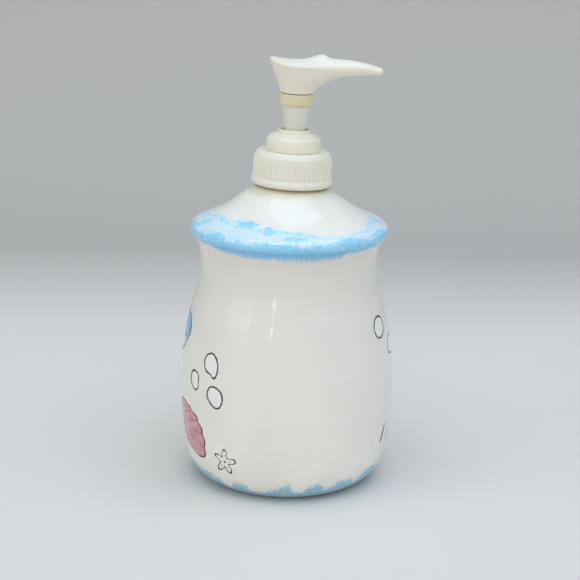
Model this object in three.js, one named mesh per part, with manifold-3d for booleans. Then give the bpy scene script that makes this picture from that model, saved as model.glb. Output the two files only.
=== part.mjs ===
// Hand-painted ceramic pump dispenser for liquid soap or detergent.
// Units are millimetres, +Z is up, the origin is the centre of the bottle's foot.
// The spout points along +X at rest.  The neck and everything screwed to it lean
// slightly towards +X, so they are drawn in their own frame, whose +Z is the
// pump's axis.  Heights in that frame are counted from the row's ground plane
// along the leaning axis.
import * as THREE from 'three';
import { mergeVertices } from 'three/addons/utils/BufferGeometryUtils.js';
import Module from 'manifold-3d';

const wasm = await Module();
wasm.setup();

// ---------------------------------------------------------------- dimensions
const PUMP_LEAN = THREE.MathUtils.degToRad(2.27); // lean of the neck towards +X
const PIVOT_Z = 110.1;        // where the pump's axis crosses the bottle's axis
const GAP = 0.3;              // clearance kept between neighbouring pieces

const BELLY_R = 42.8;         // widest radius of the bottle
const WAIST_R = 34.95;        // radius of the waist under the shoulder roll
const ROLL_R = 39.0;          // radius of the shoulder roll
const FOOT_R = 29.6;          // outer edge of the flat foot ring
const FOOT_IN_R = 25.5;       // inner edge of the flat foot ring
const FOOT_RECESS = 1.6;      // depth of the recess inside the foot ring
const FLOOR_Z = 6.0;          // inner floor of the bottle

const NECK_R = 12.6;          // neck outside, thread root
const NECK_THREAD_R = 13.55;  // neck thread crest
const NECK_BORE_R = 10.0;     // neck bore
const NECK_TOP = 128.9;       // rim of the neck
const PITCH = 4.233;          // 28 mm closure thread, six turns to the inch
const THREAD_TURNS = 1.1;     // length of each thread

const CAP_BOTTOM = 119.8;     // lower edge of the closure's skirt
const CAP_R = 15.85;          // skirt radius at its lower edge, over the ribs
const CAP_TOP_R = 15.25;      // skirt radius at its top
const CAP_IN_R = 14.0;        // inside of the skirt, thread root
const CAP_THREAD_R = 13.05;   // closure thread crest
const CAP_INNER_TOP = 131.9;  // underside of the closure's top

const BORE_R = 6.2;           // pump chamber
const STROKE = 8.8;           // travel of the head
const STEM_R = 4.17;          // stem below its flare
const TUBE_R = 2.2;           // dip tube outside
const TUBE_IN_R = 1.5;        // dip tube inside
const TUBE_END = 9.5;         // height of the dip tube's lower end

const SPRING_R = 4.75;        // mean radius of the return spring
const WIRE_R = 0.42;          // spring wire radius
const SPRING_BOTTOM = 92.2;   // lowest point of the spring
const SPRING_TOP = 118.9;     // highest point of the spring
const SPRING_TURNS = 9;

const HEAD_TIP_X = 32.8;      // reach of the spout from the pump's axis

const SEG_BIG = 40;           // facets round the bottle and closure
const SEG = 24;               // facets round the smaller turned pieces

// ------------------------------------------------------------------- helpers
function clean(geometry) {
  // position-only, merged, without zero-area faces, facing out
  const g = geometry.clone();
  for (const name of Object.keys(g.attributes)) if (name !== 'position') g.deleteAttribute(name);
  const m = mergeVertices(g, 1e-5);
  const idx = m.index.array, out = [];
  for (let i = 0; i < idx.length; i += 3) {
    const [a, b, c] = [idx[i], idx[i + 1], idx[i + 2]];
    if (a !== b && b !== c && a !== c) out.push(a, b, c);
  }
  const p = m.attributes.position.array;
  let vol = 0;
  for (let i = 0; i < out.length; i += 3) {
    const [a, b, c] = [out[i] * 3, out[i + 1] * 3, out[i + 2] * 3];
    vol += p[a] * (p[b + 1] * p[c + 2] - p[b + 2] * p[c + 1])
         - p[a + 1] * (p[b] * p[c + 2] - p[b + 2] * p[c])
         + p[a + 2] * (p[b] * p[c + 1] - p[b + 1] * p[c]);
  }
  if (vol < 0) for (let i = 0; i < out.length; i += 3) [out[i + 1], out[i + 2]] = [out[i + 2], out[i + 1]];
  m.setIndex(out);
  return m;
}

function toSolid(geometry) {
  const g = clean(geometry);
  return new wasm.Manifold(new wasm.Mesh({
    numProp: 3,
    vertProperties: Float32Array.from(g.attributes.position.array),
    triVerts: Uint32Array.from(g.index.array),
  }));
}

function toGeometry(solid) {
  const mesh = solid.getMesh();
  const n = mesh.numProp, pos = [];
  for (let i = 0; i < mesh.vertProperties.length; i += n)
    pos.push(mesh.vertProperties[i], mesh.vertProperties[i + 1], mesh.vertProperties[i + 2]);
  const g = new THREE.BufferGeometry();
  g.setAttribute('position', new THREE.Float32BufferAttribute(pos, 3));
  g.setIndex(Array.from(mesh.triVerts));
  g.computeVertexNormals();
  return g;
}

// turned piece: profile of [radius, height] round +Z; it starts and ends on the
// axis, or it is closed on itself
function turned(profile, segments = SEG) {
  const pts = profile.map(([r, z]) => new THREE.Vector2(r, z));
  const open = profile[0][0] < 1e-9 && profile[profile.length - 1][0] < 1e-9;
  if (!open) pts.push(pts[0].clone());
  const g = new THREE.LatheGeometry(pts, segments);
  g.rotateX(Math.PI / 2);
  return clean(g);
}

// skin over a stack of equal closed rings, with flat ends
function lofted(rings) {
  const n = rings[0].length, pos = [], idx = [];
  for (const ring of rings) for (const p of ring) pos.push(p[0], p[1], p[2]);
  for (let k = 0; k < rings.length - 1; k++) for (let i = 0; i < n; i++) {
    const a = k * n + i, b = k * n + (i + 1) % n, c = a + n, d = b + n;
    idx.push(a, b, d, a, d, c);
  }
  const flat = rings[0].map(() => 0);
  for (const [ring, base, turn] of [[rings[0], 0, false], [rings[rings.length - 1], (rings.length - 1) * n, true]]) {
    const c = [0, 1, 2].map((j) => ring.reduce((s, p) => s + p[j], 0) / n);
    const at = pos.length / 3;
    pos.push(...c);
    flat.forEach((_, i) => {
      const a = base + i, b = base + (i + 1) % n;
      if (turn) idx.push(at, a, b); else idx.push(at, b, a);
    });
  }
  const g = new THREE.BufferGeometry();
  g.setAttribute('position', new THREE.Float32BufferAttribute(pos, 3));
  g.setIndex(idx);
  return clean(g);
}

// ridge of a screw thread: a trapezium carried up a helix, tapering at its ends
function threadRidge(rootR, crestR, startZ, turns, startAngle, rootW, crestW) {
  const steps = Math.round(turns * 20), rings = [];
  for (let i = 0; i <= steps; i++) {
    const t = i / steps, a = startAngle + t * turns * 2 * Math.PI, z = startZ + t * turns * PITCH;
    const fade = Math.max(0.04, Math.min(1, Math.min(t, 1 - t) * steps / 3));
    const crest = rootR + (crestR - rootR) * fade;
    const sink = rootR > crestR ? 0.35 : -0.35;
    rings.push([[rootR + sink, z - rootW / 2], [crest, z - crestW / 2], [crest, z + crestW / 2], [rootR + sink, z + rootW / 2]]
      .map(([r, h]) => [r * Math.cos(a), r * Math.sin(a), h]));
  }
  return lofted(rings);
}

const leaning = new THREE.Group();
leaning.rotation.y = PUMP_LEAN;
leaning.position.set(-PIVOT_Z * Math.sin(PUMP_LEAN), 0, PIVOT_Z * (1 - Math.cos(PUMP_LEAN)));
leaning.updateMatrixWorld(true);
const lean = (geometry) => geometry.clone().applyMatrix4(leaning.matrixWorld);

function piece(name, geometry, colour, roughness, metalness = 0, extra = {}) {
  geometry.computeVertexNormals();
  const mesh = new THREE.Mesh(geometry, new THREE.MeshStandardMaterial({ color: colour, roughness, metalness, ...extra }));
  mesh.name = name;
  return mesh;
}

const group = new THREE.Group();
group.name = 'pump_dispenser';
group.add(leaning);

// -------------------------------------------------------------------- bottle
// Slip-cast shell: belly, waist, shoulder roll, conical shoulder and a threaded
// neck, with a recessed foot and an open hollow.
const bottleOuter = [
  [0, FOOT_RECESS], [23.4, FOOT_RECESS], [24.6, 0.5], [FOOT_IN_R, 0], [FOOT_R, 0], [31.4, 0.5], [33.3, 1.5],
  [35.4, 3.1], [37.5, 5.3], [39.3, 8.8], [40.5, 13.2], [41.4, 20], [42.3, 28], [BELLY_R, 37], [42.5, 47],
  [41.15, 59], [38.85, 70], [36.4, 78], [35.2, 84], [WAIST_R, 90], [35.3, 94], [36.1, 96.6], [37.5, 98.9],
  [38.65, 100.5], [ROLL_R, 102.1], [38.6, 103.7], [37.1, 105.0], [34.6, 106.1], [29.9, 108.1], [26.0, 110.3],
  [20.7, 114.0], [17.0, 116.7], [14.3, 118.3], [12.0, 118.9], [0, 118.9],
];
const bottleInner = [
  [0, FLOOR_Z], [27, FLOOR_Z], [33.0, 8.0], [36.2, 12.6], [38.2, 24], [39.0, 38], [38.3, 49],
  [34.8, 67], [31.4, 80], [31.0, 91], [33.6, 99.2], [34.0, 101.8], [24.6, 107.2], [16.0, 112.9], [11.5, 115.2], [0, 115.2],
];
const neckOuter = [[0, 116.2], [12.0, 116.2], [NECK_R, 118.0], [NECK_R, NECK_TOP - 0.5], [NECK_R - 0.5, NECK_TOP], [0, NECK_TOP]];
const neckBore = [[0, 113.6], [NECK_BORE_R, 113.6], [NECK_BORE_R, NECK_TOP + 2], [0, NECK_TOP + 2]];
const neckThread = threadRidge(NECK_R, NECK_THREAD_R, 122.5, THREAD_TURNS, 0, 1.5, 0.7);
const bottle = toSolid(turned(bottleOuter, SEG_BIG))
  .add(toSolid(lean(turned(neckOuter, SEG_BIG))))
  .add(toSolid(lean(neckThread)))
  .subtract(toSolid(turned(bottleInner, 32)))
  .subtract(toSolid(lean(turned(neckBore, SEG_BIG))));
group.add(piece('bottle', toGeometry(bottle), 0xe9eae6, 0.12));

// ------------------------------------------------------------------- closure
// Ribbed cap with an internal thread.  Its top carries a shallow seat for the chaplet.
const closureProfile = [
  [CAP_IN_R + 0.3, CAP_BOTTOM], [CAP_R - 0.45, CAP_BOTTOM], [CAP_R, CAP_BOTTOM + 0.7], [CAP_R, CAP_BOTTOM + 1.8], [CAP_R - 0.35, CAP_BOTTOM + 2.9],
  [CAP_TOP_R, 129.8], [14.9, 131.1], [14.2, 132.25], [13.2, 132.95], [11.3, 133.1], [11.05, 132.95], [9.4, 132.95], [9.4, CAP_INNER_TOP],
  [13.6, CAP_INNER_TOP], [CAP_IN_R, CAP_INNER_TOP - 0.5], [CAP_IN_R, CAP_BOTTOM + 0.5],
];
const closureThread = threadRidge(CAP_IN_R, CAP_THREAD_R, 122.5 - PITCH / 2, THREAD_TURNS, 0, 1.5, 0.7);
const closure = toSolid(turned(closureProfile, SEG_BIG)).add(toSolid(closureThread));
leaning.add(piece('closure', toGeometry(closure), 0xdedccd, 0.42));

// ------------------------------------------------------------------- chaplet
// Domed collar that snaps over the housing, holds the closure down and guides the
// stem.  Its mouth is flared, and the stem's own flare nests in it at full press.
const chaplet = turned([
  [9.35, 133.35], [10.85, 133.35], [10.72, 136.4], [10.4, 137.8], [9.7, 138.6], [8.5, 139.2], [7.0, 139.75], [6.5, 140.05],
  [6.38, 140.95], [6.15, 141.25], [5.66, 141.25], [5.58, 140.6], [5.3, 139.3], [4.9, 137.4], [4.57, 135.3], [4.5, 133.6], [5.0, 132.6],
  [5.0, 130.2], [7.35, 130.2], [7.35, 137.6], [9.35, 137.6],
]);
leaning.add(piece('chaplet', chaplet, 0xe2e1cf, 0.4));

// --------------------------------------------------------------- pump housing
const housing = turned([
  [2.55, 74], [3.6, 74], [3.6, 82.2], [4.9, 83.6], [4.9, 86.0], [7.4, 88.6], [7.4, 128.6], [8.2, 129.6], [8.2, 130.5],
  [13.1, 130.5], [13.1, 131.6], [9.05, 131.6], [9.05, 137.3], [7.65, 137.3], [7.65, 129.9], [BORE_R, 129.2],
  [BORE_R, 89.0], [3.3, 87.6], [3.3, 85.9], [1.55, 84.4], [1.55, 82.2], [2.55, 82.2],
]);
leaning.add(piece('pump_housing', housing, 0xe6e4da, 0.4));

// flat ring between the neck's rim and the housing's flange
leaning.add(piece('neck_gasket', turned([[8.5, 129.1], [12.9, 129.1], [12.9, 130.2], [8.5, 130.2]]), 0xcfcabd, 0.85));

// dip tube with a slanted lower end
const tube = toSolid(turned([[TUBE_IN_R, TUBE_END - 3], [TUBE_R, TUBE_END - 3], [TUBE_R, 81.9], [TUBE_IN_R, 81.9]], 20));
const slant = new THREE.BoxGeometry(14, 14, 12);
slant.rotateY(THREE.MathUtils.degToRad(28));
slant.translate(0, 0, TUBE_END + 1.2 - 6 / Math.cos(THREE.MathUtils.degToRad(28)));
leaning.add(piece('dip_tube', toGeometry(tube.subtract(toSolid(slant))), 0xdfe3e2, 0.3));

// inlet ball on its conical seat at the foot of the housing
const inletBall = new THREE.SphereGeometry(2.35, 16, 10);
inletBall.rotateX(Math.PI / 2);
inletBall.translate(0, 0, 86.45);
leaning.add(piece('inlet_ball', clean(inletBall), 0xb9bcc0, 0.12, 0.9));

// cage over the ball, which is also the spring's lower seat
const cageRing = toSolid(turned([[3.0, 89.4], [5.9, 89.4], [5.9, 91.9], [4.05, 91.9], [4.05, 94.6], [3.0, 94.6]]));
const cageBar = new THREE.BoxGeometry(7.0, 1.0, 1.2);
cageBar.translate(0, 0, 91.2);
const cageBar2 = cageBar.clone().rotateZ(Math.PI / 2);
leaning.add(piece('spring_seat', toGeometry(cageRing.add(toSolid(cageBar)).add(toSolid(cageBar2))), 0xdcd9cc, 0.45));

// return spring
class Coil extends THREE.Curve {
  getPoint(t, target = new THREE.Vector3()) {
    const dead = 0.09, u = Math.min(1, Math.max(0, (t - dead) / (1 - 2 * dead)));
    const lift = 0.9 * Math.min(t, dead) / dead + 0.9 * Math.max(0, t - 1 + dead) / dead;
    const z = SPRING_BOTTOM + WIRE_R + lift + u * (SPRING_TOP - SPRING_BOTTOM - 2 * WIRE_R - 1.8);
    const a = t * SPRING_TURNS * 2 * Math.PI;
    return target.set(SPRING_R * Math.cos(a), SPRING_R * Math.sin(a), z);
  }
}
const wire = new THREE.Shape();
for (let i = 0; i < 5; i++) {
  const a = i * 2 * Math.PI / 5;
  if (i) wire.lineTo(WIRE_R * Math.cos(a), WIRE_R * Math.sin(a)); else wire.moveTo(WIRE_R, 0);
}
wire.closePath();
const spring = new THREE.ExtrudeGeometry(wire, { steps: Math.round(SPRING_TURNS * 12), extrudePath: new Coil(), bevelEnabled: false });
leaning.add(piece('return_spring', clean(spring), 0xa9acb0, 0.3, 0.95));

// -------------------------------------------------------------------- piston
// soft cup with two wiping lips, carried by the stem
leaning.add(piece('piston_seal', turned([
  [3.15, 123.2], [5.2, 123.2], [5.2, 122.2], [5.98, 121.3], [5.98, 123.2], [5.5, 124.4], [5.5, 126.6], [5.98, 127.8], [5.98, 129.6], [5.2, 128.7],
  [5.2, 127.6], [3.15, 127.6],
]), 0xe8e6dc, 0.5));
// hollow rod that carries the cup and takes the spring's push
leaning.add(piece('piston_rod', turned([
  [1.4, 112.5], [2.5, 112.5], [2.85, 113.4], [2.85, 119.2], [5.35, 119.2], [5.35, 120.6], [2.85, 121.0], [2.85, 129.6], [2.4, 130.2], [1.4, 130.2],
], 24), 0xd9d6c9, 0.45));

// ---------------------------------------------------------------------- stem
// Hollow stem with a flare under the head and a seat for the outlet ball on top.
const stem = turned([
  [3.15, 128.0], [STEM_R - 0.3, 128.0], [STEM_R, 128.4], [STEM_R, 141.8], [4.3, 144.2], [4.62, 146.2], [5.02, 147.9], [5.32, 149.3], [5.4, 150.15],
  [3.5, 150.15], [3.5, 161.0], [2.75, 161.0], [2.75, 158.4], [1.5, 157.1], [1.5, 133.0], [3.15, 131.2],
]);
leaning.add(piece('stem', stem, 0xdbd7cb, 0.38));

// outlet ball at the top of the stem
const outletBall = new THREE.SphereGeometry(2.1, 16, 10);
outletBall.rotateX(Math.PI / 2);
outletBall.translate(0, 0, 158.86);
leaning.add(piece('outlet_ball', clean(outletBall), 0xb9bcc0, 0.12, 0.9));

// -------------------------------------------------------------- head insert
// separate ring that plugs into the foot of the head and grips the stem
leaning.add(piece('head_insert', turned([
  [3.85, 150.45], [5.6, 150.45], [6.25, 150.9], [6.6, 151.9], [6.62, 154.6], [6.45, 155.15], [5.15, 155.15], [5.15, 158.1], [3.85, 158.1],
]), 0xd9d3ae, 0.45));

// -------------------------------------------------------------- actuator head
// Saddle-shaped thumb rest on a flared barrel, with a drooping spout along +X.
function ovalRing(z, back, front, half, power) {
  const ring = [];
  for (let i = 0; i < 24; i++) {
    const a = i * Math.PI / 12, c = Math.cos(a), s = Math.sin(a);
    const cx = Math.sign(c) * Math.abs(c) ** power, sy = Math.sign(s) * Math.abs(s) ** power;
    ring.push([(c >= 0 ? front : back) * cx, half * sy, z]);
  }
  return ring;
}
const headBody = lofted([
  ovalRing(155.5, 6.5, 6.5, 6.5, 1), ovalRing(157.2, 7.0, 6.8, 6.7, 1), ovalRing(160.2, 8.0, 8.2, 7.0, 1),
  ovalRing(163.2, 9.2, 9.8, 7.7, 0.95), ovalRing(166.0, 10.6, 10.8, 8.7, 0.88), ovalRing(168.0, 11.15, 11.2, 9.1, 0.84),
  ovalRing(172.0, 11.2, 11.3, 9.1, 0.84),
]);
const saddle = new THREE.Shape([
  [-14, 155], [-14, 168.95], [-11.4, 168.9], [-8.3, 168.5], [-4.6, 168.1], [-0.6, 168.2], [3.0, 168.75], [5.7, 169.7], [8.4, 170.55],
  [10.1, 170.5], [11.2, 169.6], [12.4, 169.2], [12.4, 155],
].map(([x, z]) => new THREE.Vector2(x, z)));
const saddleBlock = new THREE.ExtrudeGeometry(saddle, { depth: 24, bevelEnabled: false });
saddleBlock.rotateX(Math.PI / 2);
saddleBlock.translate(0, 12, 0);

// spout: rounded sections [x, lower, upper, half width]
const spoutSections = [
  [1.0, 156.6, 168.0, 6.6], [5.5, 157.3, 168.7, 6.6], [8.8, 158.8, 169.1, 6.3], [12.5, 160.7, 169.1, 5.6], [16.3, 161.9, 169.05, 5.1],
  [20.0, 162.7, 168.9, 4.7], [24.0, 163.2, 168.5, 4.3], [27.7, 163.55, 167.85, 3.95], [30.6, 163.8, 167.1, 3.5], [32.1, 163.95, 166.6, 3.0],
  [HEAD_TIP_X, 164.25, 166.3, 2.5],
];
const spout = lofted(spoutSections.map(([x, lo, hi, half]) => {
  const ring = [], mid = (lo + hi) / 2, h = (hi - lo) / 2;
  for (let i = 0; i < 16; i++) {
    const a = i * Math.PI / 8, c = Math.cos(a), s = Math.sin(a);
    ring.push([x, half * Math.sign(c) * Math.abs(c) ** 0.62, mid + h * Math.sign(s) * Math.abs(s) ** 0.62]);
  }
  return ring;
}));
const headSocket = turned([[0, 154], [5.45, 154], [5.45, 158.4], [3.8, 158.4], [3.8, 161.4], [1.9, 161.9], [1.9, 165.3], [0, 165.9]]);
const passage = new THREE.CylinderGeometry(0.85, 0.85, 35, 12);
passage.rotateZ(Math.PI / 2);
passage.translate(17.5, 0, 165.3);
const head = toSolid(headBody).intersect(toSolid(saddleBlock)).add(toSolid(spout))
  .subtract(toSolid(headSocket)).subtract(toSolid(passage));
leaning.add(piece('actuator_head', toGeometry(head), 0xdfdccf, 0.36));

leaning.updateMatrixWorld(true);
export default group;
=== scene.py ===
import math

import bpy
import numpy as np
from mathutils import Matrix, Vector


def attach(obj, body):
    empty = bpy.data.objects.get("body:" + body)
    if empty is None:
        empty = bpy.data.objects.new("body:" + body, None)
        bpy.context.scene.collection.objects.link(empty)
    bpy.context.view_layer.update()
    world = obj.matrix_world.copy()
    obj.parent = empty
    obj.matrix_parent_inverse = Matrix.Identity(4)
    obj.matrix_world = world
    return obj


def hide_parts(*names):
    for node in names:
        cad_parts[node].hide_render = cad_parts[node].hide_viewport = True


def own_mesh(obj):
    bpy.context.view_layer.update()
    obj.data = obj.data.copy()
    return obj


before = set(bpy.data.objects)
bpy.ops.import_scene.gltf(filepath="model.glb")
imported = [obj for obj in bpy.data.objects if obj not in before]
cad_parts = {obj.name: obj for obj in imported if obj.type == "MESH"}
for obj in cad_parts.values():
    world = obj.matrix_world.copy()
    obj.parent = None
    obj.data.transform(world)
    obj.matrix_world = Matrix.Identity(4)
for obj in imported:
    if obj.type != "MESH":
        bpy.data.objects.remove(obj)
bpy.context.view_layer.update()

MM = 0.001
PI = math.pi
TAU = 2 * math.pi

# ------------------------------------------------------------------ dimensions
# The same millimetre dimensions as the CAD.  Heights of the pump's pieces run
# along its own axis, which leans towards +X about the point (0, 0, PIVOT).
LEAN = math.radians(2.27)
PIVOT = 110.1
PITCH = 4.233
THREAD_TURNS = 1.1
TUBE_END = 9.5
SPRING_R, WIRE_R, SPRING_BOTTOM, SPRING_TOP, SPRING_TURNS = 4.75, 0.42, 92.2, 118.9, 9


# ------------------------------------------------------------------- geometry
def lean(p):
    """Points of the pump's own frame, in mm, to the row's frame, in mm."""
    c, s = math.cos(LEAN), math.sin(LEAN)
    x, y, z = p[..., 0], p[..., 1], p[..., 2] - PIVOT
    return np.stack([x * c + z * s, y, -x * s + z * c + PIVOT], -1)


def smooth01(x, a, b):
    t = np.clip((x - a) / (b - a), 0, 1)
    return t * t * (3 - 2 * t)


def fillet(points, radius=0.15, closed=True, arc=4):
    """A polygon of (r, z) or (r, z, radius), with its corners rounded."""
    n, out = len(points), []
    for i, p in enumerate(points):
        p1 = np.array(p[:2], float)
        rad = p[2] if len(p) > 2 else radius
        if not closed and i in (0, n - 1):
            out.append(p1)
            continue
        a = np.array(points[(i - 1) % n][:2], float) - p1
        b = np.array(points[(i + 1) % n][:2], float) - p1
        la, lb = np.linalg.norm(a), np.linalg.norm(b)
        a, b = a / la, b / lb
        half = math.acos(float(np.clip(a @ b, -1, 1))) / 2
        if rad <= 0 or half > PI / 2 - 0.02:
            out.append(p1)
            continue
        t = min(rad / math.tan(half), 0.46 * la, 0.46 * lb)
        for k in range(arc + 1):
            u = k / arc
            out.append((1 - u) ** 2 * (p1 + a * t) + 2 * u * (1 - u) * p1 + u * u * (p1 + b * t))
    return np.array(out)


def densify(points, longest, closed=True):
    """Cuts the long edges of a profile, with a short edge kept beside each end."""
    out, n = [], len(points)
    for i in range(n if closed else n - 1):
        a, b = points[i], points[(i + 1) % n]
        out.append(a)
        length = float(np.linalg.norm(b - a))
        if length > longest * 0.6:
            edge = min(0.08, length * 0.2) / length
            count = max(1, int(math.ceil(length / longest)))
            for u in sorted({edge, 1 - edge, *[k / count for k in range(1, count)]}):
                out.append(a + (b - a) * u)
    if not closed:
        out.append(points[-1])
    return np.array(out)


def spline(points, step):
    """A smooth open curve through points, sampled at about step."""
    p = np.array(points, float)
    p = np.vstack([2 * p[0] - p[1], p, 2 * p[-1] - p[-2]])
    out = []
    for i in range(1, len(p) - 2):
        p0, p1, p2, p3 = p[i - 1:i + 3]
        t = np.cumsum([0] + [max(1e-6, np.linalg.norm(b - a)) ** 0.5 for a, b in ((p0, p1), (p1, p2), (p2, p3))])
        count = max(2, int(math.ceil(np.linalg.norm(p2 - p1) / step)))
        for k in range(count):
            u = t[1] + (t[2] - t[1]) * k / count
            a1 = (t[1] - u) / (t[1] - t[0]) * p0 + (u - t[0]) / (t[1] - t[0]) * p1
            a2 = (t[2] - u) / (t[2] - t[1]) * p1 + (u - t[1]) / (t[2] - t[1]) * p2
            a3 = (t[3] - u) / (t[3] - t[2]) * p2 + (u - t[2]) / (t[3] - t[2]) * p3
            b1 = (t[2] - u) / (t[2] - t[0]) * a1 + (u - t[0]) / (t[2] - t[0]) * a2
            b2 = (t[3] - u) / (t[3] - t[1]) * a2 + (u - t[1]) / (t[3] - t[1]) * a3
            out.append((t[2] - u) / (t[2] - t[1]) * b1 + (u - t[1]) / (t[2] - t[1]) * b2)
    out.append(p[-2])
    return np.array(out)


def mesh_object(name, verts, faces, smooth=True):
    """A mesh from points in mm, with its faces turned outwards."""
    v = np.asarray(verts, float) * MM
    vol = 0.0
    for f in faces:
        f = np.asarray(f)
        if len(f) == 0:
            continue
        f = f.reshape(-1, f.shape[-1])
        for k in range(1, f.shape[1] - 1):
            vol += float(np.einsum("ij,ij->i", v[f[:, 0]], np.cross(v[f[:, k]], v[f[:, k + 1]])).sum())
    lists = []
    for f in faces:
        f = np.asarray(f)
        if len(f):
            lists += (f[:, ::-1] if vol < 0 else f).tolist()
    me = bpy.data.meshes.new(name)
    me.from_pydata(v.tolist(), [], lists)
    me.update()
    if smooth:
        me.polygons.foreach_set("use_smooth", np.ones(len(me.polygons), bool))
    ob = bpy.data.objects.new(name, me)
    bpy.context.scene.collection.objects.link(ob)
    return ob


def revolve(name, profile, seg, closed=True, shape=None, place=lean):
    """A turned piece.  profile is (r, z) in mm, closed on itself, or open with its
    first and last points on the axis.  shape(r, z, angle) may change r and z.
    Angle 0 points to -Y and grows towards +X."""
    prof = np.asarray(profile, float)
    th = np.arange(seg) * TAU / seg
    r = np.repeat(prof[:, :1], seg, 1)
    z = np.repeat(prof[:, 1:2], seg, 1)
    t = np.repeat(th[None, :], len(prof), 0)
    if shape:
        r, z = shape(r, z, t)
    p = np.stack([r * np.sin(t), -r * np.cos(t), z], -1)
    if place is not None:
        p = place(p)
    rows = len(prof)
    idx = np.arange(rows * seg).reshape(rows, seg)
    verts = p.reshape(-1, 3)
    if closed:
        a, b = idx, np.roll(idx, -1, 0)
        quads = np.stack([a, np.roll(a, -1, 1), np.roll(b, -1, 1), b], -1).reshape(-1, 4)
        return mesh_object(name, verts, [quads])
    verts = np.vstack([verts[:1], verts[seg:-seg], verts[-1:]])
    idx = idx[1:-1] - seg + 1
    last = len(verts) - 1
    a, b = idx[:-1], idx[1:]
    quads = np.stack([a, np.roll(a, -1, 1), np.roll(b, -1, 1), b], -1).reshape(-1, 4)
    ring0, ring1 = idx[0], idx[-1]
    fan0 = np.stack([np.zeros(seg, int), np.roll(ring0, -1), ring0], -1)
    fan1 = np.stack([np.full(seg, last), ring1, np.roll(ring1, -1)], -1)
    return mesh_object(name, verts, [quads, fan0, fan1])


def ridge(r, z, angle, root, height, start, wide=1.5, crest=0.7):
    """Adds a right-hand thread ridge of PITCH to radii r; height < 0 for an inside thread."""
    a = np.mod(angle - PI / 2, TAU)
    out = r.copy()
    for k in range(int(math.ceil(THREAD_TURNS)) + 1):
        turn = a + TAU * k
        zc = start + PITCH * turn / TAU
        inside = (turn <= THREAD_TURNS * TAU)
        fade = np.minimum(smooth01(turn, 0, 0.35), smooth01(THREAD_TURNS * TAU - turn, 0, 0.35))
        h = np.clip((wide / 2 - np.abs(z - zc)) / ((wide - crest) / 2), 0, 1)
        h = h * h * (3 - 2 * h)
        out = out + np.where(inside, height * h * fade, 0)
    return out


def ball(name, centre, radius, seg=64, rows=40):
    a = np.linspace(0, PI, rows + 1)
    prof = np.stack([radius * np.sin(a), centre - radius * np.cos(a)], -1)
    prof[0, 0] = prof[-1, 0] = 0
    return revolve(name, prof, seg, closed=False)


def ripple(p, amplitude, waves, seed):
    """A smooth, repeatable unevenness of hand-made clay: a sum of long waves."""
    rng = np.random.default_rng(seed)
    out = np.zeros(p.shape[:-1])
    for length in waves:
        d = rng.normal(size=3)
        d /= np.linalg.norm(d)
        out += np.sin(p @ d * TAU / length + rng.uniform(0, TAU))
    return amplitude * out / math.sqrt(len(waves))


# --------------------------------------------------------------------- bottle
foot = fillet([(0, 1.6), (23.2, 1.6, 1.2), (24.7, 0.35, 0.9), (25.6, 0.0, 0.5), (29.7, 0.0, 1.1), (31.4, 0.5, 1.2), (33.3, 1.5)], closed=False)
side = spline([(33.3, 1.5), (35.4, 3.1), (37.5, 5.3), (39.3, 8.8), (40.5, 13.2), (41.4, 20), (42.3, 28), (42.8, 37), (42.5, 47),
               (41.15, 59), (38.85, 70), (36.4, 78), (35.2, 84), (34.95, 90), (35.3, 94), (36.05, 96.5), (37.35, 98.9), (38.55, 100.6),
               (39.0, 102.1), (38.6, 103.7), (37.1, 105.0), (34.6, 106.1), (29.9, 108.1), (26.0, 110.3), (20.7, 114.0), (17.0, 116.7),
               (15.5, 118.05), (14.3, 118.85), (13.3, 119.35), (12.75, 120.1), (12.6, 120.8)], 0.7)
neck = densify(fillet([(12.6, 120.8), (12.6, 128.9, 0.55), (10.0, 128.9, 0.8), (10.0, 117.0)], closed=False, arc=6), 0.28, closed=False)
inside = spline([(10.0, 117.0), (11.2, 115.4), (16.0, 112.6), (24.6, 107.2), (32.4, 103.3), (34.2, 101.5), (33.5, 99.2), (31.9, 96.0), (31.0, 90),
                 (31.5, 80), (34.8, 67), (38.3, 49), (39.0, 38), (38.2, 24), (36.2, 12.6), (33.0, 8.2), (27, 6.1)], 2.0)
floor_in = np.array([[22, 6.0], [14, 6.0], [6, 6.0], [0, 6.0]])
bottle_profile = np.vstack([densify(foot, 1.6, closed=False)[:-1], side[:-1], neck[:-1], inside, floor_in])


def bottle_shape(r, z, t):
    on_neck = (r > 12.3) & (r < 12.9) & (z > 121) & (z < 128.6)
    r = np.where(on_neck, ridge(r, z, t, 12.6, 0.95, 122.5), r)
    p = np.stack([r * np.sin(t), -r * np.cos(t), z], -1)
    clay = ripple(p, 0.10, (62, 48, 37, 29, 23), 5) + ripple(p, 0.03, (13, 11, 9, 8), 6)
    outer = (np.arange(len(r))[:, None] < OUTER_ROWS) & (z > 2)
    weight = smooth01(z, 2, 9) * (1 - smooth01(z, 112, 117)) * outer
    return r + clay * weight, z


OUTER_ROWS = len(densify(foot, 1.6, closed=False)) - 1 + len(side) - 1


def bottle_place(p):
    outer = np.arange(len(p))[:, None] < OUTER_ROWS
    w = np.where(outer, smooth01(p[..., 2], 111.5, 118.5), smooth01(p[..., 2], 109, 116))[..., None]
    return p * (1 - w) + lean(p) * w


bottle = revolve("ceramic_bottle", bottle_profile, 288, closed=False, shape=bottle_shape, place=bottle_place)

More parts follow.
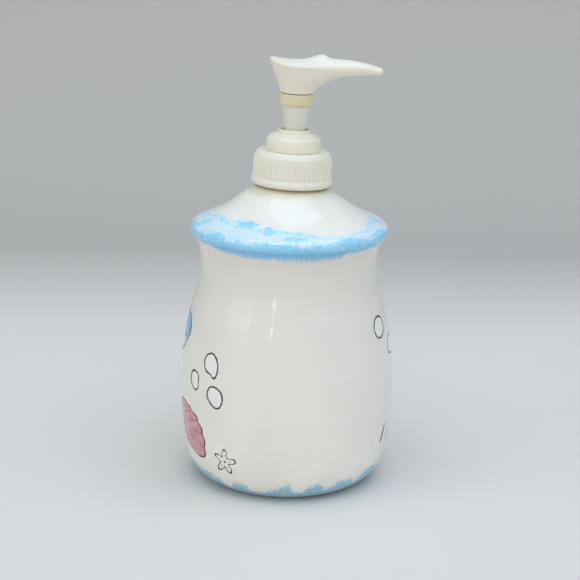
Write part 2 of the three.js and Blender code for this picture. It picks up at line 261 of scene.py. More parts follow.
# -------------------------------------------------------------------- closure
RIBS = 60
closure_profile = densify(fillet([
    (14.3, 119.8, 0.3), (15.35, 119.8, 0.6), (15.88, 120.4, 0.7), (15.97, 121.35, 0.7), (15.72, 122.25, 0.6), (15.34, 122.75, 0.3), (15.36, 123.3, 0.3),
    (15.25, 129.7, 1.2),
    (14.95, 131.1, 1.0), (14.2, 132.3, 1.1), (13.2, 132.98, 0.7), (10.4, 133.07, 0.1), (10.25, 132.95, 0.08), (9.4, 132.95, 0.15), (9.4, 131.9, 0.15),
    (13.6, 131.9, 0.3), (14.0, 131.4, 0.3), (14.0, 120.3, 0.2)], arc=5), 0.3)


def closure_shape(r, z, t):
    wall = (r > 14.5) * smooth01(z, 121.0, 123.2) * (1 - smooth01(z, 129.8, 132.0))
    groove = 0.5 - 0.5 * np.cos(RIBS * t)
    r = r - wall * (0.40 * groove ** 1.2 - 0.06)
    inner = (r < 14.02) & (r > 13.95) & (z > 120.0) & (z < 130.0)
    return np.where(inner, ridge(r, z, t, 14.0, -0.95, 122.5 - PITCH / 2), r), z


closure = revolve("closure_cap", closure_profile, RIBS * 8, shape=closure_shape)

# -------------------------------------------------------------------- chaplet
chaplet = revolve("chaplet_collar", densify(fillet([
    (9.35, 133.14), (10.85, 133.14, 0.1), (10.78, 136.0, 1.5), (10.5, 137.65, 0.7), (9.75, 138.45, 0.8), (8.4, 139.15, 1.0), (7.05, 139.7, 0.5),
    (6.55, 140.0, 0.35), (6.42, 140.9, 0.35), (6.15, 141.25, 0.25), (5.68, 141.25, 0.2), (5.6, 140.6, 0.3), (5.3, 139.3, 1.0), (4.9, 137.4, 1.0),
    (4.57, 135.3, 0.8), (4.5, 133.6, 0.2), (5.0, 132.6, 0.2), (5.0, 130.2), (7.35, 130.2), (7.35, 137.6), (9.35, 137.6)], arc=5), 0.5), 160)

# -------------------------------------------------------------- hidden pieces
housing = revolve("pump_cylinder", densify(fillet([
    (2.55, 74, 0.2), (3.6, 74, 0.2), (3.6, 82.2, 0.5), (4.9, 83.6, 0.4), (4.9, 86.0, 0.8), (7.4, 88.6, 1.2), (7.4, 128.6, 0.5), (8.2, 129.6, 0.4),
    (8.2, 130.5, 0.15), (13.1, 130.5, 0.25), (13.1, 131.6, 0.25), (9.05, 131.6, 0.3), (9.05, 137.3, 0.2), (7.65, 137.3, 0.2), (7.65, 129.9, 0.2),
    (6.2, 129.2, 0.2), (6.2, 89.0, 0.4), (3.3, 87.6, 0.3), (3.3, 85.9, 0.1), (1.55, 84.4, 0.1), (1.55, 82.2, 0.1), (2.55, 82.2, 0.1)], arc=4), 1.2), 128)
gasket = revolve("neck_gasket_ring", densify(fillet([(8.5, 129.1), (12.9, 129.1), (12.9, 130.2), (8.5, 130.2)], 0.25), 0.7), 128)


def tube_shape(r, z, t):
    cut = 10.7 - r * np.sin(t) * math.tan(math.radians(28))
    w = np.clip((30 - z) / (30 - 7.0), 0, 1)
    return r, np.where(z < 30, cut * w + z * (1 - w), z)


tube_profile = densify(fillet([(1.5, 7.0, 0), (2.2, 7.0, 0), (2.2, 30.0, 0), (2.2, 81.9, 0.12), (1.5, 81.9, 0.12), (1.5, 30.0, 0)]), 2.5)
tube = revolve("dip_tube_pipe", tube_profile, 48, shape=tube_shape)

seat_ring = revolve("spring_seat_cage", densify(fillet([
    (3.0, 89.4), (5.9, 89.4), (5.9, 91.9), (4.05, 91.9), (4.05, 94.6), (3.0, 94.6)], 0.2), 0.6), 96)


def bar(name, turned):
    """A rounded cross bar of the cage."""
    w, h, long = 0.5, 0.6, 3.4
    ring = fillet([(-w, -h), (w, -h), (w, h), (-w, h)], 0.2)
    xs = np.linspace(-long, long, 9)
    p = np.array([[[x, q[0], 91.2 + q[1]] for q in ring] for x in xs])
    if turned:
        p = np.stack([-p[..., 1], p[..., 0], p[..., 2]], -1)
    n, m = len(xs), len(ring)
    idx = np.arange(n * m).reshape(n, m)
    quads = np.stack([idx[:-1], np.roll(idx[:-1], -1, 1), np.roll(idx[1:], -1, 1), idx[1:]], -1).reshape(-1, 4)
    return mesh_object(name, lean(p.reshape(-1, 3)), [quads, idx[:1, ::-1], idx[-1:]])


seat_bars = [bar("spring_seat_bar_a", False), bar("spring_seat_bar_b", True)]

inlet_ball = ball("inlet_valve_ball", 86.45, 2.35)
outlet_ball = ball("outlet_valve_ball", 158.86, 2.1)

piston_seal = revolve("piston_cup", densify(fillet([
    (3.15, 123.2), (5.2, 123.2), (5.2, 122.2, 0.3), (5.98, 121.3, 0.05), (5.98, 123.2, 0.4), (5.5, 124.4, 0.4), (5.5, 126.6, 0.4), (5.98, 127.8, 0.4),
    (5.98, 129.6, 0.05), (5.2, 128.7, 0.3), (5.2, 127.6), (3.15, 127.6)], 0.12), 0.5), 128)
piston_rod = revolve("piston_rod_tube", densify(fillet([
    (1.4, 112.5), (2.5, 112.5, 0.3), (2.85, 113.4, 0.4), (2.85, 119.2, 0.15), (5.35, 119.2, 0.2), (5.35, 120.6, 0.2), (2.85, 121.0, 0.3), (2.85, 129.6, 0.3),
    (2.4, 130.2, 0.15), (1.4, 130.2, 0.15)], 0.15), 0.8), 96)


def coil(name, around=12, per_turn=48):
    n = SPRING_TURNS * per_turn
    t = np.arange(n + 1) / n
    dead = 0.09
    u = np.clip((t - dead) / (1 - 2 * dead), 0, 1)
    lift = 0.9 * np.minimum(t, dead) / dead + 0.9 * np.maximum(0, t - 1 + dead) / dead
    z = SPRING_BOTTOM + WIRE_R + lift + u * (SPRING_TOP - SPRING_BOTTOM - 2 * WIRE_R - 1.8)
    a = t * SPRING_TURNS * TAU
    c = np.stack([SPRING_R * np.cos(a), SPRING_R * np.sin(a), z], -1)
    tan = np.gradient(c, axis=0)
    tan /= np.linalg.norm(tan, axis=1)[:, None]
    out = np.stack([np.cos(a), np.sin(a), 0 * a], -1)
    up = np.cross(tan, out)
    b = np.arange(around) * TAU / around
    p = c[:, None] + WIRE_R * (np.cos(b)[None, :, None] * out[:, None] + np.sin(b)[None, :, None] * up[:, None])
    idx = np.arange((n + 1) * around).reshape(n + 1, around)
    quads = np.stack([idx[:-1], np.roll(idx[:-1], -1, 1), np.roll(idx[1:], -1, 1), idx[1:]], -1).reshape(-1, 4)
    return mesh_object(name, lean(p.reshape(-1, 3)), [quads, idx[:1, ::-1], idx[-1:]])


spring = coil("return_spring_coil")

# ----------------------------------------------------------- stem and insert
stem = revolve("pump_stem", densify(fillet([
    (3.15, 128.0), (3.87, 128.0, 0.3), (4.17, 128.4, 0.3), (4.17, 141.8, 3.0), (4.3, 144.2, 4.0), (4.62, 146.2, 3.0), (5.02, 147.9, 3.0), (5.32, 149.3, 1.5),
    (5.46, 150.42, 0.08), (3.5, 150.42), (3.5, 161.0), (2.75, 161.0), (2.75, 158.4), (1.5, 157.1), (1.5, 133.0), (3.15, 131.2)], 0.12, arc=6), 0.5), 128)
insert = revolve("head_insert_ring", densify(fillet([
    (3.85, 150.45), (5.5, 150.45, 0.12), (6.15, 150.75, 0.6), (6.58, 151.9, 0.8), (6.63, 154.7, 0.4), (6.4, 155.2, 0.25), (5.15, 155.2), (5.15, 158.1), (3.85, 158.1)],
    0.12, arc=6), 0.4), 128)


# ---------------------------------------------------------------- pump head
def lerp(x, table):
    t = np.array(table, float)
    return np.interp(x, t[:, 0], t[:, 1])


def soft_lerp(x, table, blur):
    """lerp, blurred over a width, so that its corners are rounded."""
    return sum(lerp(x + d, table) for d in np.linspace(-blur, blur, 7)) / 7


def smax(a, b, k):
    h = np.clip(0.5 + 0.5 * (a - b) / k, 0, 1)
    return b * (1 - h) + a * h + k * h * (1 - h)


def smin(a, b, k):
    return -smax(-a, -b, k)


def centre_line(x):
    """Height of the head's top along its middle, without the crest."""
    return soft_lerp(x, [(-16, 169.6), (-11.4, 168.95), (-8.3, 168.52), (-4.6, 168.15), (-0.6, 168.2), (3.0, 168.65), (6.0, 169.05), (9.0, 169.25), (13.0, 169.22),
                         (17.6, 169.1), (22.2, 168.78), (26.8, 168.05), (30.5, 167.15), (33.5, 166.1)], 0.9)


def bump_line(x):
    """Height of the crest over that line."""
    return soft_lerp(x, [(-20, 0), (2.5, 0), (4.5, 0.35), (6.5, 0.95), (8.4, 1.35), (9.9, 1.3), (10.7, 0.85), (12.0, 0.25), (13.5, 0), (40, 0)], 0.45)


def edge_line(x):
    """Height of the top's rounded edge."""
    return soft_lerp(x, [(-16, 168.2), (-11.4, 167.9), (-8.1, 167.2), (-3.6, 166.7), (0.9, 166.4), (5, 166.3), (8.2, 166.35), (11.3, 166.45), (14.3, 166.65), (17.6, 166.9),
                         (22.2, 167.2), (26.7, 167.0), (31.4, 166.1), (34, 165.6)], 1.0)


def head_field(x, y, z):
    """Signed distance, roughly, to the head's surface in the pump's frame, in mm."""
    ay = np.abs(y)
    back = soft_lerp(z, [(150, 6.5), (155.5, 6.5), (157.5, 6.95), (160.2, 7.95), (163.2, 9.25), (166.2, 10.75), (168.6, 11.3), (173, 11.45)], 0.9)
    front = soft_lerp(z, [(150, 6.5), (155.5, 6.5), (158, 7.0), (161, 8.4), (164, 9.8), (167, 10.9), (169, 11.4), (173, 11.6)], 0.9)
    half = soft_lerp(z, [(150, 6.5), (155.5, 6.5), (158, 6.65), (161, 7.0), (163.5, 7.6), (166, 8.6), (168.5, 9.2), (173, 9.3)], 0.9)
    power = lerp(z, [(150, 2.0), (160, 2.0), (164, 2.15), (168, 2.45), (173, 2.45)])
    a = np.where(x >= 0, front, back)
    q = (np.abs(x / a) ** power + (ay / half) ** power) ** (1 / power)
    pad = (q - 1) * np.minimum(a, half) * 0.97
    pad = smax(pad, 155.5 - z, 0.25)
    wide = soft_lerp(x, [(-4, 7.4), (2, 7.4), (6, 7.15), (9, 6.55), (12, 5.85), (16, 5.15), (20, 4.7), (24, 4.3), (28, 3.9), (31, 3.5), (33, 3.1), (35, 2.9)], 0.8)
    lo = soft_lerp(x, [(-4, 155.6), (1, 156.0), (5.5, 156.9), (7.4, 157.6), (8.8, 158.5), (10.5, 159.7), (12.7, 160.95), (15.4, 162.0), (18, 162.75),
                       (20.7, 163.1), (27, 163.6), (32, 164.0), (35, 164.3)], 0.8)
    mid = edge_line(x) - 0.7
    tall = np.maximum(mid - lo, 0.6)
    n = 2.35
    q = ((ay / wide) ** n + np.where(z < mid, (mid - z) / tall, 0) ** n) ** (1 / n)
    spout = (q - 1) * np.minimum(wide, tall + 0.8) * 0.95
    tip = (x - 32.75) * math.cos(0.3) - (z - 166.2) * math.sin(0.3)
    spout = smax(spout, tip, 0.8)
    spout = smax(spout, -x - 2.0, 1.0)
    body = smin(pad, spout, 1.8)
    # the top: a centre line with a crest where the spout begins, falling to the edges
    spread = np.where(x < 0, lerp(x, [(-12, 6.0), (-8, 8.6), (-3, 9.0), (0, 9.1)]), np.maximum(wide * 1.02, 9.1 * np.sqrt(np.clip(1 - (np.abs(x) / 11.2) ** 2.4, 0, 1))))
    share = np.clip(ay / spread, 0, 1.25)
    top = centre_line(x)
    crest = bump_line(x)
    crown = top - (top - edge_line(x)) * share ** 2.1 + crest * np.clip(1 - (share / 0.72) ** 2, 0, 1) ** 1.6
    body = smax(body, (z - crown) * 0.93, 0.85)
    rho = np.sqrt(x * x + y * y)
    socket = np.maximum(rho - soft_lerp(z, [(150, 5.45), (158.4, 5.45), (158.5, 3.8), (161.4, 3.8), (161.9, 1.9), (165.6, 1.9)], 0.02), z - 165.6)
    hole = np.sqrt(y * y + (z - 165.3) ** 2) - 0.95
    hole = np.maximum(hole, -x)
    body = smax(body, -socket, 0.12)
    return smax(body, -hole, 0.25)


def surface_nets(field, lo, hi, step):
    """The zero surface of field(x, y, z) as quads."""
    n = [int(math.ceil((b - a) / step)) + 1 for a, b in zip(lo, hi)]
    ax = [lo[i] + step * np.arange(n[i]) for i in range(3)]
    f = field(ax[0][:, None, None], ax[1][None, :, None], ax[2][None, None, :])
    f = np.broadcast_to(f, n).copy()
    neg = f < 0
    cells = [m - 1 for m in n]
    total, count = np.zeros(cells + [3]), np.zeros(cells)
    corners = [(i, j, k) for i in (0, 1) for j in (0, 1) for k in (0, 1)]

    def at(a, c):
        return a[c[0]:c[0] + cells[0], c[1]:c[1] + cells[1], c[2]:c[2] + cells[2]]

    for c in corners:
        for axis in range(3):
            if c[axis]:
                continue
            d = list(c)
            d[axis] = 1
            fa, fb = at(f, c), at(f, d)
            cross = at(neg, c) != at(neg, d)
            t = np.where(cross, fa / np.where(fa == fb, 1, fa - fb), 0)
            for m in range(3):
                total[..., m] += np.where(cross, (t if m == axis else c[m]), 0)
            count += cross
    live = count > 0
    index = np.full(cells, -1)
    index[live] = np.arange(live.sum())
    where = np.stack(np.nonzero(live), -1)
    pos = np.array(lo) + (where + total[live] / count[live][:, None]) * step
    quads = []
    for axis in range(3):
        b, c = (axis + 1) % 3, (axis + 2) % 3
        lo_s, hi_s = [slice(None)] * 3, [slice(None)] * 3
        lo_s[axis], hi_s[axis] = slice(0, -1), slice(1, None)
        change = neg[tuple(lo_s)] != neg[tuple(hi_s)]
        i = np.stack(np.nonzero(change), -1)
        i = i[(i[:, b] > 0) & (i[:, c] > 0) & (i[:, b] < n[b] - 1) & (i[:, c] < n[c] - 1)]
        inside_first = neg[tuple(i.T)]
        q = []
        for db, dc in ((-1, -1), (0, -1), (0, 0), (-1, 0)):
            j = i.copy()
            j[:, b] += db
            j[:, c] += dc
            q.append(index[tuple(j.T)])
        q = np.stack(q, -1)
        q[~inside_first] = q[~inside_first][:, ::-1]
        quads.append(q)
    return pos, np.vstack(quads)


def relax(pos, quads, rounds, share=0.5):
    """Evens out the net's small steps without shrinking it."""
    e = np.vstack([quads[:, [k, (k + 1) % 4]] for k in range(4)])
    e = np.vstack([e, e[:, ::-1]])
    n = len(pos)
    deg = np.bincount(e[:, 0], minlength=n)[:, None]
    for r in range(rounds * 2):
        mean = np.stack([np.bincount(e[:, 0], pos[e[:, 1], m], minlength=n) for m in range(3)], -1) / np.maximum(deg, 1)
        pos = pos + (mean - pos) * (share if r % 2 == 0 else -share * 1.04)
    return pos


hp, hq = surface_nets(head_field, (-13.0, -11.0, 154.6), (34.6, 11.0, 172.6), 0.27)
hp = relax(hp, hq, 3)
head = mesh_object("pump_head", lean(hp), [hq])


# ------------------------------------------------------------------ materials
class E:
    """A number in a node tree; arithmetic on it makes Math nodes."""

    def __init__(self, m, sock):
        self.m, self.s = m, sock

    def __add__(self, o): return self.m.op("ADD", self, o)
    __radd__ = __add__
    def __sub__(self, o): return self.m.op("SUBTRACT", self, o)
    def __rsub__(self, o): return self.m.op("SUBTRACT", o, self)
    def __mul__(self, o): return self.m.op("MULTIPLY", self, o)
    __rmul__ = __mul__
    def __truediv__(self, o): return self.m.op("DIVIDE", self, o)
    def __neg__(self): return self.m.op("MULTIPLY", self, -1.0)


class Mat:
    def __init__(self, name, color, rough, **sockets):
        self.mat = bpy.data.materials.new(name)
        self.mat.use_nodes = True
        self.tree = self.mat.node_tree
        self.bsdf = self.tree.nodes["Principled BSDF"]
        self.bsdf.inputs["Base Color"].default_value = (*color, 1)
        self.bsdf.inputs["Roughness"].default_value = rough
        for k, v in sockets.items():
            self.bsdf.inputs[k.replace("_", " ")].default_value = v
        self.coord = None

    def node(self, kind, **props):
        n = self.tree.nodes.new(kind)
        for k, v in props.items():
            setattr(n, k, v)
        return n

    def put(self, sock, v):
        if isinstance(v, E):
            self.tree.links.new(v.s, sock)
        elif isinstance(v, bpy.types.NodeSocket):
            self.tree.links.new(v, sock)
        elif isinstance(v, (tuple, list)) and sock.type == "RGBA" and len(v) == 3:
            sock.default_value = (*v, 1)
        else:
            sock.default_value = v

    def op(self, kind, a, b=None, c=None, clamp=False):
        n = self.node("ShaderNodeMath", operation=kind, use_clamp=clamp)
        for i, v in enumerate((a, b, c)):
            if v is not None:
                self.put(n.inputs[i], v)
        return E(self, n.outputs[0])

    def ss(self, x, a, b):
        """Smooth step: 0 below a, 1 above b; a may be the larger."""
        flip = a > b
        n = self.node("ShaderNodeMapRange", interpolation_type="SMOOTHSTEP", clamp=True)
        self.put(n.inputs["Value"], x)
        n.inputs["From Min"].default_value, n.inputs["From Max"].default_value = (b, a) if flip else (a, b)
        n.inputs["To Min"].default_value, n.inputs["To Max"].default_value = (1, 0) if flip else (0, 1)
        return E(self, n.outputs["Result"])

    def maxi(self, *v):
        out = v[0]
        for x in v[1:]:
            out = self.op("MAXIMUM", out, x)
        return out

    def mini(self, *v):
        out = v[0]
        for x in v[1:]:
            out = self.op("MINIMUM", out, x)
        return out

    def hypot(self, a, b):
        return self.op("SQRT", a * a + b * b)

    def curve(self, x, points):
        """A smooth curve through points in 0..1, both ways."""
        n = self.node("ShaderNodeFloatCurve")
        c = n.mapping.curves[0]
        while len(c.points) > 2:
            c.points.remove(c.points[-1])
        c.points[0].location, c.points[1].location = points[0], points[-1]
        for p in points[1:-1]:
            c.points.new(*p)
        n.mapping.update()
        self.put(n.inputs["Value"], x)
        return E(self, n.outputs[0])

    def xyz(self):
        if self.coord is None:
            self.tc = self.node("ShaderNodeTexCoord")
            self.sep = self.node("ShaderNodeSeparateXYZ")
            self.tree.links.new(self.tc.outputs["Object"], self.sep.inputs[0])
            self.coord = [E(self, self.sep.outputs[i]) * 1000.0 for i in range(3)]
        return self.coord

    def vec(self, x, y, z=0.0):
        n = self.node("ShaderNodeCombineXYZ")
        for i, v in enumerate((x, y, z)):
            self.put(n.inputs[i], v)
        return n.outputs[0]

    def noise(self, scale, detail=2.0, rough=0.5, at=None, distortion=0.0):
        """Noise in 0..1 about 0.5.  scale is in features per mm."""
        self.xyz()
        n = self.node("ShaderNodeTexNoise")
        if at is None:
            n.inputs["Scale"].default_value = scale * 1000.0
            self.put(n.inputs["Vector"], self.tc.outputs["Object"])
        else:
            n.inputs["Scale"].default_value = scale
            self.put(n.inputs["Vector"], at)
        n.inputs["Detail"].default_value = detail
        n.inputs["Roughness"].default_value = rough
        n.inputs["Distortion"].default_value = distortion
        return E(self, n.outputs["Fac"])

    def cells(self, scale, at=None):
        self.xyz()
        n = self.node("ShaderNodeTexVoronoi")
        if at is None:
            n.inputs["Scale"].default_value = scale * 1000.0
            self.put(n.inputs["Vector"], self.tc.outputs["Object"])
        else:
            n.inputs["Scale"].default_value = scale
            self.put(n.inputs["Vector"], at)
        return E(self, n.outputs["Distance"])

    def mix(self, fac, a, b):
        n = self.node("ShaderNodeMix", data_type="RGBA")
        self.put(n.inputs[0], fac)
        self.put(n.inputs[6], a)
        self.put(n.inputs[7], b)
        return n.outputs[2]

    def bump(self, height, distance, strength=1.0, after=None):
        n = self.node("ShaderNodeBump")
        n.inputs["Strength"].default_value = strength
        n.inputs["Distance"].default_value = distance
        self.put(n.inputs["Height"], height)
        if after is not None:
            self.tree.links.new(after, n.inputs["Normal"])
        return n.outputs["Normal"]

    def set(self, name, v):
        self.put(self.bsdf.inputs[name], v)


def srgb(r, g, b):
    return tuple((c / 255 / 12.92) if c <= 10 else ((c / 255 + 0.055) / 1.055) ** 2.4 for c in (r, g, b))


def scaled(color, k):
    return tuple(min(1.0, c * k) for c in color)


# Hand-painted glaze.  u is the distance round the belly from the front in mm,
# v the height in mm.
g = Mat("painted_glaze", (0.8, 0.8, 0.78), 0.09, Coat_Weight=0.0)
X, Y, Z = g.xyz()
RHO = g.hypot(X, Y)
ANG = g.op("ARCTAN2", X, -Y)
BELLY = 42.0
wob = g.noise(0.20, 2.0, 0.5)
wob2 = g.noise(0.23, 2.0, 0.5, at=None, distortion=0.6)
U = ANG * BELLY + (wob - 0.5) * 1.0
V = Z + (wob2 - 0.5) * 1.0
BACK = g.op("ARCTAN2", -X, Y) * BELLY + (wob - 0.5) * 1.0

base = g.mix(g.ss(g.noise(0.035, 3.0, 0.55), 0.35, 0.68), srgb(238, 235, 227), srgb(243, 241, 233))
base = g.mix(g.ss(g.noise(0.4, 2.0, 0.6), 0.62, 0.80) * 0.25, base, srgb(231, 230, 222))
# painted shade: the glaze is darkened and warmed from about 32 mm up to just under the shoulder roll, where the roll
# shades the body
base = g.mix(g.ss(Z, 32.0, 82.0) * g.ss(Z, 100.0, 96.0) * 0.85, base, srgb(232, 227, 219))


def radial(uc, vc, pts, u=None, v=None):
    """Distance in mm outside a closed outline given as points round (uc, vc)."""
    du, dv = (u or U) - uc, (v or V) - vc
    r = g.hypot(du, dv)
    phi = g.op("ARCTAN2", dv, du) / TAU + 0.5
    ang = np.array([math.atan2(p[1] - vc, p[0] - uc) / TAU + 0.5 for p in pts])
    rad = np.array([math.hypot(p[0] - uc, p[1] - vc) for p in pts])
    order = np.argsort(ang)
    ang, rad = ang[order], rad[order]
    top = float(rad.max()) * 1.05
    ang = np.concatenate([[ang[-1] - 1], ang, [ang[0] + 1]])
    rad = np.concatenate([[rad[-1]], rad, [rad[0]]])
    ends = float(np.interp(0.0, ang, rad))
    keep = [(float(a), float(b) / top) for a, b in zip(ang, rad) if 0.004 < a < 0.996]
    c = g.curve(phi, [(0.0, ends / top)] + keep + [(1.0, ends / top)])
    return r - c * top, r, du, dv, phi


def capsule(u0, v0, u1, v1, u=None, v=None):
    """Distance in mm from a stroke."""
    du, dv = u1 - u0, v1 - v0
    pu, pv = (u or U) - u0, (v or V) - v0
    t = g.op("DIVIDE", pu * du + pv * dv, du * du + dv * dv, clamp=True)
    return g.hypot(pu - t * du, pv - t * dv)


def deg(a):
    return math.radians(a) * BELLY


pen_w = 0.36 + (g.noise(0.33, 1.0) - 0.5) * 0.34
ink_depth = g.ss(g.noise(0.5, 2.0), 0.15, 0.50) * 0.14 + 0.85


def pen(d, width=1.0):
    """How much ink lies where d mm from a line."""
    return g.ss(g.op("ABSOLUTE", d) - pen_w * width, 0.16, -0.14)


ink_layers, paints = [], []     # paints are (mask, colour)
BUBBLE = srgb(242, 242, 240)
PINK, PINK_LIGHT = srgb(206, 140, 152), srgb(222, 172, 178)
FISH = srgb(120, 163, 208)
GREEN = srgb(122, 158, 134)
INK = srgb(44, 41, 39)


def bubble(a_deg, z, pts=None, ru=3.6, rv=4.0, u=None, spin=0.3):
    uc = deg(a_deg)
    if pts is None:
        pts = [(uc + ru * math.cos(k * TAU / 10 + spin) * (1 + 0.06 * math.sin(3 * k)), z + rv * math.sin(k * TAU / 10 + spin) * (1 + 0.05 * math.cos(5 * k)))
               for k in range(10)]
    else:
        pts = [(deg(p[0]), p[1]) for p in pts]
    d = radial(uc, z, pts, u=u)[0]
    paints.append((g.ss(d, 0.1, -0.1), BUBBLE))
    ink_layers.append(pen(d))


# bubbles in front, left and right of the bare middle
bubble(-43.9, 53.6, [(-46.1, 57.9), (-49.2, 54.4), (-48.3, 51.6), (-44.5, 50.2), (-41.2, 49.1), (-39.2, 51.2), (-38.9, 54.3), (-40.9, 57.1), (-43.4, 58.2)])
bubble(-57.3, 45.8, [(-57.6, 49.2), (-61.2, 46.2), (-60.2, 43.9), (-55.0, 42.1), (-53.4, 45.6), (-54.4, 48.4)])
bubble(-40.2, 41.7, [(-41.4, 45.7), (-45.0, 43.6), (-45.1, 40.8), (-42.5, 38.5), (-38.6, 37.4), (-35.5, 39.4), (-35.0, 42.0), (-36.9, 44.9)])
bubble(64.2, 67.0, [(63.5, 70.9), (59.4, 69.2), (58.2, 66.0), (61.5, 63.1), (67.5, 63.6), (70.4, 66.9), (68.3, 70.0)])
bubble(80.4, 57.4, ru=5.6, rv=3.8)
bubble(101.0, 68.5, ru=3.0, rv=3.2)
bubble(111.0, 57.0, ru=2.2, rv=2.4)

# scallop shell, low on the left: hinge at the left, fan to the right
SH_U, SH_V = deg(-84.5), 25.0
shell_pts = [(-70.3, 34.4), (-65.5, 33.9), (-59.9, 32.0), (-56.7, 31.0), (-53.9, 29.2), (-51.9, 27.0), (-50.5, 24.4), (-49.7, 21.5), (-49.8, 17.8),
             (-51.2, 15.0), (-53.6, 13.7), (-56.7, 13.9), (-61.1, 14.7), (-66.6, 15.6), (-71.7, 16.8), (-77.0, 18.8), (-84.0, 22.0), (-90.5, 21.6),
             (-91.5, 24.5), (-90.0, 28.0), (-86.0, 28.5), (-79.0, 33.5)]
sd, sr, sdu, sdv, sphi = radial(SH_U, SH_V, [(deg(a), b) for a, b in shell_pts])
ribs = g.op("ABSOLUTE", g.op("SINE", sphi * (TAU * 15.0) + 0.5))
sd = sd - (ribs * 0.85 - 0.46) * g.ss(sdu, 4, 10)
shell_in = g.ss(sd, 0.1, -0.1)
pinks = g.mix(g.ss(g.noise(0.28, 3.0, 0.6), 0.35, 0.72), PINK, PINK_LIGHT)
paints.append((shell_in, pinks))
ink_layers.append(pen(sd, 1.3))
rib_line = g.ss(ribs * sr / 15.0 - 0.10, 0.20, -0.08) * shell_in
reach = (g.noise(0.45, 1.0, at=g.vec(sphi * 60.0, 2.0)) - 0.5) * 12.0
ink_layers.append(rib_line * g.ss(sd + 9.0 + reach, -0.6, 0.6) * g.ss(sdu, 5.0, 7.0) * 0.75)
ink_layers.append(rib_line * g.ss(sr, 2.0, 3.0) * g.ss(sr, 8.5, 7.0) * g.ss(ribs, 0.5, 0.4) * 0.55)

# fish on the left side, its blunt nose just round the edge of the front view
FU, FV = deg(-94.5), 62.8
fish_pts = [(deg(-70.3), 63.4), (deg(-71.8), 66.4), (deg(-76.8), 68.4), (deg(-84), 69.6), (deg(-91), 72.0), (deg(-99), 72.9), (deg(-107), 71.2), (deg(-116), 67.4), (deg(-121), 64.8),
            (deg(-121), 62.4), (deg(-115), 59.2), (deg(-106), 55.2), (deg(-96), 52.6), (deg(-87), 52.4), (deg(-79.6), 54.3), (deg(-72.8), 59.0)]
fd, fr, fdu, fdv, _ = radial(FU, FV, fish_pts)
tail_pts = [(deg(-119.5), 63.6), (deg(-124), 68.2), (deg(-131), 72.4), (deg(-135.5), 73.0), (deg(-132.5), 68.0), (deg(-130.6), 63.8), (deg(-132.5), 58.8),
            (deg(-135), 54.4), (deg(-130.5), 55.0), (deg(-124), 59.6)]
td = radial(deg(-127.2), 63.7, tail_pts)[0]
fin_pts = [(deg(-88), 75.2), (deg(-92), 79.2), (deg(-99), 81.2), (deg(-106), 79.4), (deg(-109), 75.0), (deg(-106), 71.6), (deg(-97), 72.0), (deg(-90), 72.2)]
nd = radial(deg(-98.5), 75.6, fin_pts)[0]
blues = g.mix(g.ss(g.noise(0.22, 3.0, 0.6), 0.30, 0.72), FISH, srgb(158, 196, 226))
belly = g.mix(g.ss(V + (g.noise(0.3, 2.0) - 0.5) * 4.0, 60.5, 56.5), blues, srgb(214, 226, 236))
body_in = g.ss(fd, 0.1, -0.1)
paints.append((g.ss(td, 0.1, -0.1), srgb(134, 176, 216)))
paints.append((g.ss(nd, 0.1, -0.1), srgb(134, 176, 216)))
ink_layers.append(pen(td))
ink_layers.append(pen(nd))
paints.append((body_in, belly))
ink_layers.append(("cut", body_in))
ink_layers.append(pen(fd, 1.35))
eye = g.hypot(U - deg(-82.5), V - 65.2)
paints.append((g.ss(eye, 1.9, 1.7), srgb(240, 241, 238)))
ink_layers.append(pen(eye - 1.8, 0.8))
ink_layers.append(g.ss(g.hypot(U - deg(-81.8), V - 65.0), 0.95, 0.75))
gill = g.hypot(U - deg(-80), V - 61.5)
ink_layers.append(pen(gill - 8.6, 0.85) * g.ss(U, deg(-89.5), deg(-90.5)) * g.ss(g.op("ABSOLUTE", V - 62.0), 5.2, 4.4))
smile = g.hypot(U - deg(-80.3), V - 62.2)
ink_layers.append(pen(smile - 3.0, 0.85) * g.ss(V, 60.5, 60.1) * g.ss(U, deg(-84.5), deg(-83.5)))
scale_u = U - deg(-100.0)
scallops = g.op("ABSOLUTE", g.op("SINE", (V - 63.0) * 1.15))
lines = g.op("ABSOLUTE", g.op("FRACT", (scale_u + scallops * 1.3) / 4.6 + 10.0) - 0.5) * 4.6
ink_layers.append(g.ss(lines - 0.10, 0.22, -0.08) * body_in * g.ss(U, deg(-94.5), deg(-95.5)) * g.ss(U, deg(-117), deg(-115)) * g.ss(fd, -1.6, -2.0) * 0.5)
for k, (a0, z0, a1, z1) in enumerate([(-122, 63.7, -129.5, 63.7), (-122.5, 65.2, -130, 69.2), (-122.5, 62.2, -129.5, 58.4), (-93, 74.2, -95.5, 78.4), (-99, 74.4, -101, 79.0),
                                      (-104.5, 73.6, -106, 77.2)]):
    ink_layers.append(pen(capsule(deg(a0), z0, deg(a1), z1), 0.7) * 0.8)

# small star instead of a signature, low on the front left
ST_U, ST_V = deg(-34.8), 15.8
st_du, st_dv = U - ST_U, V - ST_V
st_r = g.hypot(st_du, st_dv)
st_phi = g.op("ARCTAN2", st_dv, st_du)
star = st_r - (g.op("COSINE", st_phi * 5.0 - 1.1) * 1.55 + 3.6)
ink_layers.append(pen(star * 0.82, 0.95))
ink_layers.append(g.ss(st_r, 0.55, 0.35))
for k in range(5):
    a = 1.1 / 5 + k * TAU / 5
    ink_layers.append(g.ss(g.hypot(st_du - 2.5 * math.cos(a), st_dv - 2.5 * math.sin(a)), 0.38, 0.2) * 0.9)

